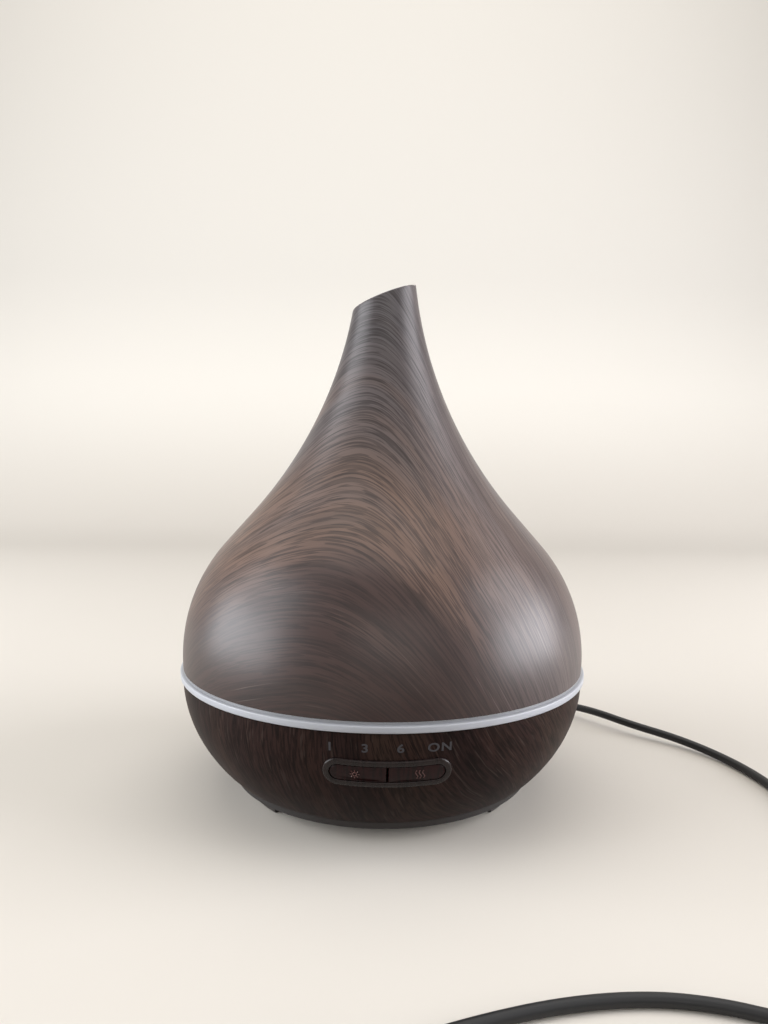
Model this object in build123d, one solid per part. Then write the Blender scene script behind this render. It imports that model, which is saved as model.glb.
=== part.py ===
"""Essential oil diffuser: a drop-shaped ultrasonic mist maker with a wood-grain cover and base.

A translucent tank hangs in the base on a light ring.  The cover and an inner splash lid lift off to
fill it.  Under the tank floor sit the ultrasonic disc, a ring of lamps, the main board and a fan that
blows the mist up through the slanted nozzle.  Two push buttons sit in the front of the base, and the
low-voltage lead plugs into the back and runs along the table to its mains adapter.

Millimetres.  +Z up, the table at z = 0, the axis of the drop on Z, the buttons towards -Y.
"""
from build123d import *
import math
import os

# ---------------------------------------------------------------- driving sizes
# Light ring, the widest piece
ring_radius = 84.0          # outside
ring_bottom = 48.0          # height of its lower face above the table
ring_height = 2.6
ring_width = 6.5            # across the flat

# Base shell, part of an ellipsoid whose middle is level with the ring's lower face
shell_inset = 1.1           # its widest part inside the ring's face
shell_edge = 63.7           # radius of its lower edge
shell_wall = 2.4
shell_foot = 8.0            # height of its lower edge
shell_round = 1.2

# Cover: round bulb, short straight flank, hollow neck
cover_inset = 1.0           # its widest part inside the ring's face
cover_wall = 2.2
bulb_radius = 67.0
bulb_centre_z = 56.0
flank_angle = 41.5          # of the flank from the upright
flank_length = 18.0
neck_radius = 172.0
mouth_height = 202.8        # of the nozzle's cut, on the axis
mouth_tilt = 21.4           # of the cut; it is high towards +X
mouth_round = 0.8

# Water tank
tank_wall = 1.8
tank_inset = 12.0           # its wall below the shoulder, inside the ring's face
tank_floor = 26.0           # underside of the floor
tank_corner = 17.0          # radius between wall and floor, outside
shoulder_bottom = 43.0
shoulder_top = 46.0
flange_thick = 0.9
lip_height = 3.0
lip_wall = 1.6
lip_gap = 0.35              # from the cover's inside

# Air duct, at the left of the tank, over the fan
duct_bore = 10.5
duct_wall = 2.0
duct_top = 57.0
skirt_bore = 16.3
skirt_bottom = 18.5
duct_cap_radius = 14.5
duct_cap_height = 8.0
duct_cap_thick = 2.0

# Splash lid
lid_wall = 1.5
lid_rise = 22.0
lid_rim_height = 1.5
lid_gap = 0.3
chimney_bore = 14.0
chimney_top = 88.0

# Ultrasonic disc and its socket, beside the duct's skirt
socket_gap = 0.3
socket_bore = 13.2
socket_wall = 2.8
socket_bottom = 21.0
disc_radius = 10.1
disc_thick = 1.0
disc_window = 8.6
seal_gap = 0.1
clamp_thick = 1.0
clamp_window = 6.5
clamp_angles = (90, 210, 330)

# Bottom cover and feet
plate_bottom = 4.0
plate_thick = 2.5
plate_inset = 4.7           # its flat underside inside the shell's lower edge
flange_inset = 1.4
flange_low = 5.5
locator_height = 2.0
locator_gap = 0.4
foot_inset = 2.0            # inside the plate's edge
foot_width = 7.0
foot_half_angle = 13.0
foot_azimuths = {"foot_front_left": -60.0, "foot_front_right": 60.0, "foot_rear": 180.0}
foot_round = 0.8

# Case screws, into posts under the tank
post_inset = 7.0            # inside the plate's edge
post_azimuths = (-25.0, 25.0, 150.0, -150.0)
post_radius = 3.6
boss_height = 2.5
screw_radius = 1.5
screw_gap = 0.1
screw_head_radius = 2.9
screw_head_height = 1.8
screw_length = 11.0
screw_drive = 0.6           # width of the cross in a screw's head

# Fan
fan_inset = 4.4             # its outer side inside the plate's edge
fan_side = 40.0
fan_height = 10.0
fan_bore = 18.9
fan_hole_pitch = 32.0
hub_radius = 9.5
blade_count = 7
blade_tip = 17.8
blade_chord = 8.6
blade_thick = 1.0
blade_pitch = 35.0
rotor_gap = 0.6
shaft_radius = 1.0
shaft_gap = 0.04
strut_thick = 1.5
gasket_width = 3.5
fan_screw_head = (2.7, 1.6)
fan_screw_grip = 1.5        # how far its screws reach into the bottom cover

# Main board
board_inset = 9.0           # its outer side inside the plate's edge
board_size = (32.0, 56.0)
board_thick = 1.6
board_post = 2.5
board_post_inset = 4.0
board_screw = (1.0, 3.6, 2.1, 1.2, 0.45)        # shank, length, head, its height, its cross
clamp_screw = (0.8, 3.4, 1.4, 0.9, 0.35)
capacitor_cans = ((-8.0, 14.0, 4.0, 9.0), (1.0, 18.0, 3.2, 8.0), (-8.0, 4.0, 3.2, 7.0))

# Lamp board, a C open towards the duct
lamp_board_inner = 24.0
lamp_board_outer = 36.0
lamp_board_half_angle = 138.0
lamp_gap = 2.0              # board to tank floor
lamp_size = (3.5, 3.5, 1.4)
lamp_count = 7
stake_angles = (0.0, 115.0, -115.0)

# Push buttons, in a slot on the slope of the base
button_z = 33.3
slot_length = 43.0
slot_height = 10.6
rim_width = 2.2
rim_proud = 0.9
rim_depth = 2.6
button_proud = 0.7
button_thick = 2.4
button_gap = 0.15
button_split = 0.8
button_travel = 0.8
button_flange = 0.9
flange_gap = 0.15           # behind the bezel
button_shelf = 0.9          # thickness of the button's flange
stake_radius = 0.55
stake_gap = 0.1
switch_side = 6.0
switch_x = 9.6
switch_height = 2.3
plunger_radius = 1.7
plunger_gap = 0.1
plunger_sunk = 0.9
key_board_depth = 8.0       # from the base's surface to the board's face
key_board_size = (44.0, 15.0)
key_board_shift = 0.5
key_board_thick = 1.2
indicator_x = (-16.5, -6.5, 4.0, 15.0)

# Socket and plug of the low-voltage lead
jack_z = 11.0
jack_side = 9.0
jack_length = 14.0
jack_face = 45.0            # y of its open face
jack_bore = 2.85
jack_pin = 1.0
jack_depth = 11.0
tunnel_half_width = 6.0
tunnel_top = 16.0
tunnel_wall = 1.5
notch_gap = 0.3
plug_sleeve_radius = 2.75
plug_sleeve_bore = 1.25
plug_radius = 4.4
plug_length = 21.0
plug_relief_length = 17.0

# Lead and coil
cord_diameter = 3.6
coil_centre = (-20.0, -188.0)
coil_mean_radius = 19.8
coil_low_turns = 4          # with one turn fewer in the layer above
tie_thick = 0.5
tie_width = 6.0

# Mains adapter, lying on its back
adapter_x = 46.0            # its end with the lead
adapter_y = -220.0
adapter_size = (58.0, 36.0, 24.0)
adapter_wall = 2.0
adapter_round = 3.0
adapter_pin_radius = 2.0
adapter_pin_length = 19.0
adapter_pin_pitch = 18.6
adapter_pin_x = 34.0        # from the lead's end
adapter_relief_length = 18.0
adapter_relief_z = 8.0
transformer_size = (16.0, 14.0, 13.0)
transformer_x = 20.0        # its middle from the lead's end

# ---------------------------------------------------------------- sizes that follow
ring_top = ring_bottom + ring_height
rim_level = ring_top + flange_thick            # the cover and the lid stand here
shell_radius = ring_radius - shell_inset
shell_depth = (ring_bottom - shell_foot) / math.sqrt(1 - (shell_edge / shell_radius) ** 2)
bulb_centre_r = ring_radius - cover_inset - bulb_radius
tank_radius = ring_radius - tank_inset
plate_top = plate_bottom + plate_thick
plate_radius = shell_edge - plate_inset
flange_radius = shell_edge - flange_inset
foot_outer = plate_radius - foot_inset
foot_inner = foot_outer - foot_width
post_circle = plate_radius - post_inset
duct_outside = duct_bore + duct_wall
skirt_outside = skirt_bore + duct_wall
socket_outside = socket_bore + socket_wall
duct_x = fan_inset + fan_side / 2 - plate_radius
disc_x = duct_x + skirt_outside + socket_outside + socket_gap
board_left = plate_radius - board_inset - board_size[0]
floor_top = tank_floor + tank_wall
cord_radius = cord_diameter / 2


def polar(radius, azimuth):
    """A point at this radius, its azimuth counted from the front towards +X."""
    a = math.radians(azimuth)
    return radius * math.sin(a), -radius * math.cos(a)


def turned(face):
    """The solid that a face in (radius, height) makes about the upright axis."""
    return revolve(Plane.XZ * face, Axis.Z, 360)


def tube(outer, inner, low, high):
    """An upright tube."""
    ring = Circle(outer) - Circle(inner)
    return Pos(0, 0, low) * extrude(ring, amount=high - low)


def rod(radius, low, high):
    """An upright rod."""
    return Pos(0, 0, low) * extrude(Circle(radius), amount=high - low)


def block(x0, x1, y0, y1, z0, z1):
    """A box between two corners."""
    return Pos((x0 + x1) / 2, (y0 + y1) / 2, (z0 + z1) / 2) * Box(x1 - x0, y1 - y0, z1 - z0)


def profile(points):
    """A face in (radius, height) with straight sides."""
    return make_face(Polyline(*points, close=True))


# ---------------------------------------------------------------- cover
def cover_inside_radius(z):
    """Inside radius of the bulb at height z."""
    return bulb_centre_r + math.sqrt((bulb_radius - cover_wall) ** 2 - (z - bulb_centre_z) ** 2)


def cover_line(inset, top):
    """Edges from the rim to height top, this far inside the outer surface."""
    a = math.radians(flank_angle)
    radius = bulb_radius - inset
    start = math.degrees(math.asin((rim_level - bulb_centre_z) / radius))
    bulb = CenterArc((bulb_centre_r, bulb_centre_z), radius, start, flank_angle - start)
    flank_start = bulb @ 1
    flank_end = flank_start + flank_length * Vector(-math.sin(a), math.cos(a))
    flank = Line(flank_start, flank_end)
    centre = flank_end + (neck_radius + inset) * Vector(math.cos(a), math.sin(a))
    last = math.degrees(math.asin((centre.Y - top) / (neck_radius + inset)))
    neck = CenterArc((centre.X, centre.Y), neck_radius + inset, 180 + flank_angle, last - flank_angle)
    return bulb, flank, neck


def make_cover():
    blank_top = mouth_height + 10
    outer = cover_line(0, blank_top)
    inner = cover_line(cover_wall, blank_top)
    ends = [Line(outer[2] @ 1, inner[2] @ 1), Line(inner[0] @ 0, outer[0] @ 0)]
    blank = turned(make_face([*outer, *inner, *ends]))
    t = math.radians(mouth_tilt)
    cut = Plane(origin=(0, 0, mouth_height), x_dir=(math.cos(t), 0, math.sin(t)),
                z_dir=(-math.sin(t), 0, math.cos(t)))
    above = Rectangle(2 * bulb_radius, 2 * bulb_radius)
    cover = blank - cut * extrude(above, amount=bulb_radius)
    rims = [e for e in cover.edges() if e.center().Z > mouth_height - bulb_radius / 3]
    return fillet(rims, mouth_round)


# ---------------------------------------------------------------- ring, tank, lid
def make_ring():
    section = Pos(ring_radius - ring_width / 2, ring_bottom + ring_height / 2) * Rectangle(
        ring_width, ring_height)
    outside = section.vertices().group_by(Axis.X)[-1]
    return turned(fillet(outside, 0.7))


def tank_corner_arc(inset):
    """The arc between the tank's floor and wall, this far inside its outer surface."""
    centre = (tank_radius - tank_corner, tank_floor + tank_corner)
    return CenterArc(centre, tank_corner - inset, -90, 90)


def make_tank():
    wide = ring_radius - ring_width - 0.3          # passes through the ring
    lip_outer = cover_inside_radius(rim_level) - lip_gap
    corner_out, corner_in = tank_corner_arc(0), tank_corner_arc(tank_wall)
    outer = Polyline(corner_out @ 1, (wide, shoulder_top), (wide, ring_top), (shell_radius, ring_top),
                     (shell_radius, rim_level), (lip_outer, rim_level),
                     (lip_outer, rim_level + lip_height), (lip_outer - lip_wall, rim_level + lip_height),
                     (lip_outer - lip_wall, rim_level), (wide - tank_wall, rim_level),
                     (wide - tank_wall, shoulder_top + 0.6), corner_in @ 1)
    floor_in = Line(corner_in @ 0, (0, floor_top))
    floor_out = Polyline((0, floor_top), (0, tank_floor), corner_out @ 0)
    tank = turned(make_face([corner_out, outer, corner_in, floor_in, floor_out]))
    # air duct and its skirt
    tank += Pos(duct_x, 0, 0) * rod(duct_outside, floor_top - 0.5, duct_top)
    tank += Pos(duct_x, 0, 0) * tube(skirt_outside, skirt_bore, skirt_bottom, tank_floor + 0.5)
    tank -= Pos(duct_x, 0, 0) * rod(duct_bore, skirt_bottom, duct_top)
    # socket and window of the ultrasonic disc
    at_disc = Pos(disc_x, 0, 0)
    tank += at_disc * tube(socket_outside, socket_bore, socket_bottom, tank_floor + 0.5)
    tank -= at_disc * rod(disc_window, tank_floor - 1, floor_top)
    for place in clamp_screw_places():
        deep = socket_bottom + clamp_screw[1] + screw_gap
        tank -= place * rod(clamp_screw[0] + screw_gap, socket_bottom, deep)
    # posts for the case screws
    post_bottom = plate_top + boss_height
    for azimuth in post_azimuths:
        x, y = polar(post_circle, azimuth)
        tank += Pos(x, y, 0) * rod(post_radius, post_bottom, tank_floor + 0.5)
        tank -= Pos(x, y, 0) * rod(screw_radius + screw_gap, post_bottom, post_bottom + screw_length)
    # stakes that hold the lamp board
    middle = (lamp_board_inner + lamp_board_outer) / 2
    for angle in stake_angles:
        stake = rod(2.2, tank_floor - lamp_gap, tank_floor + 0.5)
        stake += rod(1.0, tank_floor - lamp_gap - board_thick, tank_floor)
        tank += at_disc * Rot(0, 0, angle) * Pos(middle, 0, 0) * stake
    return tank


def make_duct_cap():
    disc = rod(duct_cap_radius, duct_top + duct_cap_height - duct_cap_thick, duct_top + duct_cap_height)
    disc = fillet(disc.edges().group_by(Axis.Z)[-1], 0.8)
    legs = tube(duct_bore - 0.15, duct_bore - 1.6, duct_top - 4, duct_top + duct_cap_height - duct_cap_thick)
    for angle in (0, 90):
        legs -= Rot(0, 0, angle) * Box(3 * duct_bore, duct_bore * 1.1, 3 * duct_top)
    return Pos(duct_x, 0, 0) * (disc + legs)


def make_lid():
    rim_outer = cover_inside_radius(rim_level) - lip_gap - lip_wall - lid_gap
    dome = []
    for inset in (0, lid_wall):
        dome.append(EllipticalCenterArc((0, rim_level), rim_outer - inset, lid_rise - inset,
                                        start_angle=0, arc_size=90))
    sides = [Line(dome[0] @ 1, dome[1] @ 1), Line(dome[1] @ 0, dome[0] @ 0)]
    lid = turned(make_face([*dome, *sides]))
    lid += tube(rim_outer, rim_outer - 2 * lid_wall, rim_level, rim_level + lid_rim_height)
    lid += rod(chimney_bore + lid_wall, rim_level + lid_rise - 2 * lid_wall, chimney_top)
    lid -= rod(chimney_bore, rim_level, chimney_top)
    return lid


# ---------------------------------------------------------------- base shell and bottom cover
def bowl(grow, low=shell_foot, high=ring_bottom):
    """The ellipsoid that the base follows, grown by this much, between two heights."""
    a, b = shell_radius + grow, shell_depth + grow
    arc = EllipticalCenterArc((0, ring_bottom), a, b, start_angle=-90, arc_size=90)
    face = make_face([arc, Line(arc @ 1, (0, ring_bottom)), Line((0, ring_bottom), arc @ 0)])
    face &= Pos(a, (low + high) / 2) * Rectangle(2 * a, high - low)
    return turned(face)


def bowl_radius(z, grow=0):
    """Outside radius of the base at height z."""
    return (shell_radius + grow) * math.sqrt(1 - ((ring_bottom - z) / (shell_depth + grow)) ** 2)


slope = math.atan(shell_radius ** 2 * (ring_bottom - button_z) / (shell_depth ** 2 * bowl_radius(button_z)))
button_plane = Plane(origin=(0, -bowl_radius(button_z), button_z), x_dir=(1, 0, 0),
                     z_dir=(0, -math.cos(slope), -math.sin(slope)))


def slot_prism(margin, out=6.0, inward=14.0):
    """The buttons' slot, shrunk by margin all round, as a prism square to the base's surface."""
    sketch = SlotOverall(slot_length - 2 * margin, slot_height - 2 * margin)
    return button_plane * Pos(0, 0, -inward) * extrude(sketch, amount=out + inward)


def make_shell():
    shell = bowl(0) - bowl(-shell_wall, low=shell_foot - 5, high=ring_bottom + 5)
    shell -= slot_prism(-button_gap / 3)
    half = tunnel_half_width + tunnel_wall + notch_gap
    shell -= block(-half, half, jack_face, shell_radius, 0, tunnel_top + tunnel_wall + notch_gap)
    lower_edge = shell.edges().filter_by(GeomType.CIRCLE).group_by(Axis.Z)[0].sort_by(SortBy.RADIUS)[-1]
    return fillet(lower_edge, shell_round)


def make_bottom_cover():
    inner_edge = bowl_radius(shell_foot, -shell_wall)
    section = profile([(0, plate_bottom), (plate_radius, plate_bottom), (flange_radius, flange_low),
                       (flange_radius, shell_foot), (inner_edge - locator_gap, shell_foot),
                       (inner_edge - locator_gap, shell_foot + locator_height),
                       (inner_edge - locator_gap - 2, shell_foot + locator_height),
                       (inner_edge - locator_gap - 2, plate_top), (0, plate_top)])
    cover = turned(section)
    # tunnel for the plug, closed at its inner end by the wall that the socket stands behind
    half = tunnel_half_width + tunnel_wall
    tunnel = block(-half, half, jack_face, shell_radius, plate_top - 1, tunnel_top + tunnel_wall)
    tunnel &= bowl(0, low=0)
    cover += tunnel
    mouth = block(-tunnel_half_width, tunnel_half_width, jack_face + tunnel_wall, shell_radius,
                  plate_top, tunnel_top)
    cover -= mouth
    cover -= Pos(0, jack_face - 1, jack_z) * Rot(-90, 0, 0) * rod(plug_radius + 0.1, 0, tunnel_wall + 2)
    # bosses and holes for the case screws
    for azimuth in post_azimuths:
        x, y = polar(post_circle, azimuth)
        cover += Pos(x, y, 0) * rod(post_radius + 0.6, plate_top - 1, plate_top + boss_height)
        cover -= Pos(x, y, 0) * rod(screw_radius + screw_gap, plate_bottom, plate_top + boss_height)
        cover -= Pos(x, y, 0) * rod(screw_head_radius + 0.3, plate_bottom, plate_bottom + plate_thick)
    # posts under the main board
    for x, y in board_post_places():
        cover += Pos(x, y, 0) * rod(2.6, plate_top - 1, plate_top + board_post)
        cover -= Pos(x, y, 0) * rod(1.1, plate_top - 1, plate_top + board_post)
    # holes for the fan's screws and the air grille below it
    for x, y in fan_hole_places():
        cover -= Pos(x, y, 0) * rod(screw_radius + screw_gap, plate_bottom + 0.6, plate_top)
    reach = fan_bore - 2
    for i in range(-3, 4):
        half_slot = math.sqrt(reach ** 2 - (5 * i) ** 2) - 1
        x = duct_x + 5 * i
        cover -= block(x - 1.4, x + 1.4, -half_slot, half_slot, plate_bottom, plate_top)
    return cover


def make_foot(azimuth):
    section = Pos((foot_inner + foot_outer) / 2, plate_bottom / 2) * Rectangle(
        foot_outer - foot_inner, plate_bottom)
    section = fillet(section.vertices().group_by(Axis.Y)[0], foot_round)
    foot = revolve(Plane.XZ * section, Axis.Z, 2 * foot_half_angle)
    return Rot(0, 0, azimuth - 90 - foot_half_angle) * foot


def screw(radius, length, head_radius, head_height, drive):
    """A screw with its head on z = 0 and its shank down, with a cross cut in the head."""
    body = rod(radius, -length, 0) + rod(head_radius, 0, head_height)
    for angle in (0, 90):
        body -= Rot(0, 0, angle) * Pos(0, 0, head_height) * Box(1.3 * head_radius, drive, head_height)
    return body


def make_case_screws():
    seat = plate_bottom + plate_thick
    one = screw(screw_radius, screw_length, screw_head_radius, screw_head_height, screw_drive)
    one = Rot(180, 0, 0) * one
    return [Pos(*polar(post_circle, a), seat) * one for a in post_azimuths]


# ---------------------------------------------------------------- ultrasonic disc
disc_z = (socket_bottom + tank_floor) / 2 - disc_thick / 2


def clamp_screw_places():
    middle = socket_bore + socket_wall / 2
    return [Pos(disc_x, 0, 0) * Rot(0, 0, angle) * Pos(middle, 0, 0) for angle in clamp_angles]


def make_disc():
    return Pos(disc_x, 0, 0) * rod(disc_radius, disc_z, disc_z + disc_thick)


def make_seal():
    seal = tube(socket_bore - seal_gap, disc_window, socket_bottom, tank_floor)
    return Pos(disc_x, 0, 0) * seal - make_disc()


def make_clamp():
    clamp = tube(socket_outside, clamp_window, socket_bottom - clamp_thick, socket_bottom)
    clamp = Pos(disc_x, 0, 0) * clamp
    for place in clamp_screw_places():
        clamp -= place * rod(clamp_screw[0] + screw_gap, socket_bottom - clamp_thick, socket_bottom)
    return clamp


def make_clamp_screws():
    seat = Pos(0, 0, socket_bottom - clamp_thick)
    return [place * seat * Rot(180, 0, 0) * screw(*clamp_screw) for place in clamp_screw_places()]


# ---------------------------------------------------------------- fan
def fan_hole_places():
    half = fan_hole_pitch / 2
    return [(duct_x + i * half, j * half) for i in (-1, 1) for j in (-1, 1)]


fan_low = plate_top
fan_high = plate_top + fan_height
strut_top = fan_low + strut_thick


def make_fan_frame():
    plan = RectangleRounded(fan_side, fan_side, 3) - Circle(fan_bore)
    frame = Pos(0, 0, fan_low) * extrude(plan, amount=fan_height)
    for angle in (45, 165, 285):
        frame += Rot(0, 0, angle) * block(0, fan_bore + 0.5, -1.2, 1.2, fan_low, strut_top)
    frame += rod(hub_radius, fan_low, strut_top)
    for x, y in fan_hole_places():
        frame -= Pos(x - duct_x, y, 0) * rod(screw_radius + screw_gap, fan_low, fan_high)
    return Pos(duct_x, 0, 0) * frame


def make_fan_motor():
    core = rod(hub_radius - 2.4, strut_top, strut_top + 5) - rod(shaft_radius + shaft_gap, fan_low, fan_high)
    return Pos(duct_x, 0, 0) * core


def make_impeller():
    low = strut_top + rotor_gap
    high = fan_high - 1
    hub = rod(hub_radius, low, high) - rod(hub_radius - 1.2, low, high - 1.2)
    hub = fillet(hub.edges().group_by(Axis.Z)[-1], 0.6)
    hub += rod(shaft_radius, strut_top + 0.4, high - 0.6)
    length = blade_tip - hub_radius + 0.4
    blade = Box(length, blade_chord, blade_thick)
    place = Pos(blade_tip - length / 2, 0, (low + high) / 2 + 0.2) * Rot(blade_pitch, 0, 0)
    for i in range(blade_count):
        hub += Rot(0, 0, 360 * i / blade_count) * place * blade
    inside = rod(hub_radius - 1.2, low, high - 1.2) - rod(shaft_radius, low, high)
    return Pos(duct_x, 0, 0) * (hub - inside)


def make_fan_gasket():
    return Pos(duct_x, 0, 0) * tube(skirt_bore + gasket_width, skirt_bore, fan_high, skirt_bottom)


def make_fan_screws():
    one = screw(screw_radius, fan_height + fan_screw_grip, *fan_screw_head, screw_drive)
    return [Pos(x, y, fan_high) * one for x, y in fan_hole_places()]


# ---------------------------------------------------------------- boards
board_z = plate_top + board_post
board_top = board_z + board_thick
board_mid = board_left + board_size[0] / 2


def board_post_places():
    xs = (board_left + board_post_inset, board_left + board_size[0] - board_post_inset)
    y = board_size[1] / 2 - board_post_inset
    return [(x, s * y) for x in xs for s in (-1, 1)]


def make_main_board():
    board = Pos(board_mid, 0, board_z) * extrude(RectangleRounded(*board_size, 1.5), amount=board_thick)
    for x, y in board_post_places():
        board -= Pos(x, y, 0) * rod(1.3, board_z, board_top)
    return board


def make_board_screws():
    return [Pos(x, y, board_top) * screw(*board_screw) for x, y in board_post_places()]


def make_capacitors():
    cans = []
    for x, y, radius, height in capacitor_cans:
        can = Pos(board_mid + x, y, 0) * rod(radius, board_top, board_top + height)
        cans.append(fillet(can.edges().group_by(Axis.Z)[-1], 0.5))
    return cans


def make_coil_inductor():
    low = board_top
    drum = rod(4.5, low, low + 1) + rod(2.6, low, low + 6) + rod(4.5, low + 5, low + 6)
    return Pos(board_mid + 7, -15, 0) * (drum + tube(4.1, 2.6, low + 1, low + 5))


def make_heat_sink():
    x, y, low = board_mid + 7, 2, board_top
    sink = block(x - 1, x + 1, y - 8, y + 8, low, low + 9)
    for i in range(6):
        fin = y - 8 + i * 2.96
        sink += block(x + 0.5, x + 7, fin, fin + 1.2, low, low + 9)
    return sink


def make_transistor():
    x, y, low = board_mid + 6, 2, board_top
    return block(x - 4.4, x, y - 5, y + 5, low + 0.5, low + 8.5) + block(
        x - 2.4, x - 1.8, y - 3, y + 3, low, low + 0.6)


def make_chips():
    low = board_top
    chips = []
    for x, y, w, h in ((-6, -8, 7.0, 5.0), (-7, -17, 5.0, 6.0)):
        chips.append(block(board_mid + x - w / 2, board_mid + x + w / 2, y - h / 2, y + h / 2, low, low + 1.6))
    return chips


def make_connectors():
    sockets = []
    y = 4.5 - board_size[1] / 2
    for x in (board_mid - 6, board_mid + 3):
        socket = block(x - 3, x + 3, y - 2.5, y + 2.5, board_top, board_top + 5)
        sockets.append(socket - block(x - 2.2, x + 2.2, y - 1.7, y + 1.7, board_top + 1.2, board_top + 5))
    return sockets


lamp_board_top = tank_floor - lamp_gap


def make_lamp_board():
    section = Pos((lamp_board_inner + lamp_board_outer) / 2, lamp_board_top - board_thick / 2) * Rectangle(
        lamp_board_outer - lamp_board_inner, board_thick)
    board = revolve(Plane.XZ * section, Axis.Z, 2 * lamp_board_half_angle)
    board = Rot(0, 0, -lamp_board_half_angle) * board
    middle = (lamp_board_inner + lamp_board_outer) / 2
    for angle in stake_angles:
        board -= Rot(0, 0, angle) * Pos(middle, 0, 0) * rod(1.1, 0, tank_floor)
    return Pos(disc_x, 0, 0) * board


def make_lamps():
    middle = (lamp_board_inner + lamp_board_outer) / 2
    step = 2 * (lamp_board_half_angle - 10) / (lamp_count - 1)
    lamps = []
    for i in range(lamp_count):
        angle = -(lamp_board_half_angle - 10) + i * step + (9 if i == lamp_count // 2 else 0)
        place = Pos(disc_x, 0, lamp_board_top + lamp_size[2] / 2) * Rot(0, 0, angle) * Pos(middle, 0, 0)
        lamps.append(place * Box(*lamp_size))
    return lamps


# ---------------------------------------------------------------- buttons
leg_x = slot_length / 2 - 1.5


def square_to_base(sketch, low, high):
    """A prism square to the base at the buttons, between two distances from its surface."""
    return button_plane * Pos(0, 0, low) * extrude(sketch, amount=high - low)


def shell_slice(high, low):
    """The layer between two distances from the base's surface."""
    return bowl(high, low=1) - bowl(low, low=0, high=ring_bottom + 5)


def make_bezel():
    bezel = shell_slice(rim_proud, -rim_depth) & (slot_prism(0) - slot_prism(rim_width))
    # two legs with stakes that carry the key board
    for side in (-1, 1):
        leg = Pos(side * leg_x, 0) * Rectangle(1.6, 0.4 * slot_height)
        bezel += square_to_base(leg, -key_board_depth, -rim_depth - 1.2)
        stake = Pos(side * leg_x, 0) * Circle(stake_radius)
        bezel += square_to_base(stake, -key_board_depth - key_board_thick - 0.4, -key_board_depth + 0.5)
    return bezel


def make_button(side):
    """One half of the slot: -1 is the light button, 1 the mist button."""
    cap = shell_slice(button_proud, button_proud - button_thick) & slot_prism(rim_width + button_gap)
    # a flange behind the bezel keeps the button in
    flange_top = -rim_depth - flange_gap
    opening = (slot_length - 2 * rim_width, slot_height - 2 * rim_width)
    wide = Rectangle(opening[0] - 6, opening[1] + 2 * button_flange)
    flange = shell_slice(flange_top, flange_top - button_shelf) & square_to_base(wide, -14, 6)
    neck = Pos(side * switch_x, 0) * Rectangle(9, 0.6 * opening[1])
    neck = shell_slice(0, flange_top - button_shelf) & square_to_base(neck, -14, 6)
    half = Pos(side * (button_split / 2 + slot_length / 4), 0) * Rectangle(slot_length / 2, slot_height)
    return (cap + flange + neck) & square_to_base(half, -14, 6)


switch_face = -key_board_depth + switch_height


def make_plunger(side):
    """The switch's own plunger, between the button's flange and the bottom of the switch."""
    bulge = (bowl_radius(button_z) - math.sqrt(bowl_radius(button_z) ** 2 - (switch_x + plunger_radius) ** 2))
    front = -rim_depth - flange_gap - button_shelf - bulge
    disc = Pos(side * switch_x, 0) * Circle(plunger_radius)
    return square_to_base(disc, switch_face - plunger_sunk, front - 0.1)


def make_switches():
    switches = []
    for side in (-1, 1):
        at = Pos(side * switch_x, 0)
        body = square_to_base(at * RectangleRounded(switch_side, switch_side, 0.5), -key_board_depth,
                              switch_face)
        well = at * Circle(plunger_radius + plunger_gap)
        depth = plunger_sunk + button_travel + 0.2
        switches.append(body - square_to_base(well, switch_face - depth, switch_face))
    return switches


def make_key_board():
    plan = Pos(0, key_board_shift) * RectangleRounded(*key_board_size, 1)
    for side in (-1, 1):
        plan -= Pos(side * leg_x, 0) * Circle(stake_radius + stake_gap)
    return square_to_base(plan, -key_board_depth - key_board_thick, -key_board_depth)


def make_indicator_lamps():
    up = key_board_shift + key_board_size[1] / 2 - 1.8
    return [button_plane * Pos(x, up, -key_board_depth + 0.6) * Box(2.0, 1.6, 1.2)
            for x in indicator_x]


# ---------------------------------------------------------------- socket and plug
def along_y(shape, y):
    """Turns a rod's axis from +Z to +Y and puts its foot at y, at the socket's height."""
    return Pos(0, y, jack_z) * Rot(-90, 0, 0) * shape


def make_jack():
    half = jack_side / 2
    body = block(-half, half, jack_face - jack_length, jack_face, jack_z - half, jack_z + half)
    return body - along_y(rod(jack_bore, 0, jack_depth), jack_face - jack_depth)


def make_jack_pin():
    pin = rod(jack_pin, 0, jack_depth - 1)
    return along_y(fillet(pin.edges().group_by(Axis.Z)[-1], 0.4), jack_face - jack_depth)


plug_face = jack_face + 0.2
plug_back = plug_face + plug_length
cord_exit_y = plug_back + plug_relief_length


def make_plug_sleeve():
    sleeve = tube(plug_sleeve_radius, plug_sleeve_bore, 0, jack_depth - 1)
    return along_y(sleeve, plug_face - jack_depth + 1)


def make_plug_body():
    body = rod(plug_radius, 0, plug_length)
    body = chamfer(body.edges().group_by(Axis.Z)[-1], 1.0)
    return along_y(body, plug_face)


def relief(length, wide, narrow, rings):
    """A ribbed, tapered strain relief along +Z, bored for the cord."""
    cone = Pos(0, 0, 0) * Solid.make_cone(wide, narrow, length)
    for i in range(rings):
        z = length * (i + 1) / (rings + 1)
        cone -= tube(wide + 1, cord_radius + 0.45, z - 0.5, z + 0.5)
    return cone


def make_plug_relief():
    return along_y(relief(plug_relief_length, 3.3, cord_radius + 0.35, 4), plug_back)


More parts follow.
